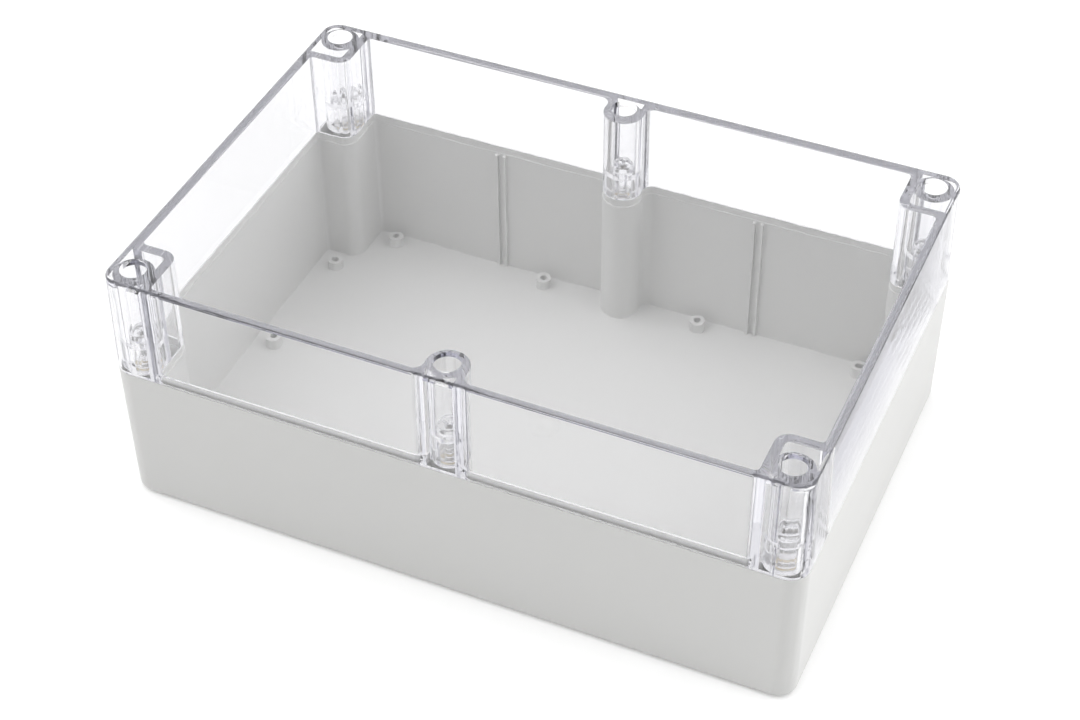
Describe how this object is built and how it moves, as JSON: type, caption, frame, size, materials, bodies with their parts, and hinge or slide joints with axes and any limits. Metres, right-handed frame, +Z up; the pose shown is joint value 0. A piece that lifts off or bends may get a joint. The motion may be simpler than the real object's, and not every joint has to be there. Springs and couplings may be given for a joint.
{
  "type": "sealed instrument enclosure",
  "caption": "Rectangular sealed enclosure with a grey moulded base, a deep clear lift-off lid, a rim gasket and captive lid screws standing outside the seal.",
  "frame": {"origin": "under the middle of the base, on the plane it rests on", "axes": "+X along the box, +Y across it, +Z up towards the clear lid"},
  "size_m": [0.24, 0.16, 0.095],
  "materials": {
    "base_plastic": "fine matt mould texture, light grey",
    "clear_lid": "polished clear polycarbonate",
    "seal_rubber": "soft pale silicone",
    "clear_screw": "clear polycarbonate, as moulded",
    "insert_brass": "plain turned brass"
  },
  "bodies": {
    "base_body": {"base": "base_plastic", "gasket": "seal_rubber", "threaded_insert_1": "insert_brass", "threaded_insert_2": "insert_brass", "threaded_insert_3": "insert_brass", "threaded_insert_4": "insert_brass", "threaded_insert_5": "insert_brass", "threaded_insert_6": "insert_brass"},
    "lid_body": {"lid": "clear_lid"},
    "screw_body_1": {"lid_screw_1": "clear_screw", "screw_ring_1": "clear_screw"},
    "screw_body_2": {"lid_screw_2": "clear_screw", "screw_ring_2": "clear_screw"},
    "screw_body_3": {"lid_screw_3": "clear_screw", "screw_ring_3": "clear_screw"},
    "screw_body_4": {"lid_screw_4": "clear_screw", "screw_ring_4": "clear_screw"},
    "screw_body_5": {"lid_screw_5": "clear_screw", "screw_ring_5": "clear_screw"},
    "screw_body_6": {"lid_screw_6": "clear_screw", "screw_ring_6": "clear_screw"}
  },
  "joints": [
    {"name": "lid_lift", "type": "slide", "parent": "base_body", "child": "lid_body", "axis": [0, 0, 1], "range_m": [0, 0.06]},
    {"name": "screw_back_out_1", "type": "slide", "parent": "lid_body", "child": "screw_body_1", "axis": [0, 0, 1], "range_m": [0, 0.007]},
    {"name": "screw_back_out_2", "type": "slide", "parent": "lid_body", "child": "screw_body_2", "axis": [0, 0, 1], "range_m": [0, 0.007]},
    {"name": "screw_back_out_3", "type": "slide", "parent": "lid_body", "child": "screw_body_3", "axis": [0, 0, 1], "range_m": [0, 0.007]},
    {"name": "screw_back_out_4", "type": "slide", "parent": "lid_body", "child": "screw_body_4", "axis": [0, 0, 1], "range_m": [0, 0.007]},
    {"name": "screw_back_out_5", "type": "slide", "parent": "lid_body", "child": "screw_body_5", "axis": [0, 0, 1], "range_m": [0, 0.007]},
    {"name": "screw_back_out_6", "type": "slide", "parent": "lid_body", "child": "screw_body_6", "axis": [0, 0, 1], "range_m": [0, 0.007]}
  ]
}
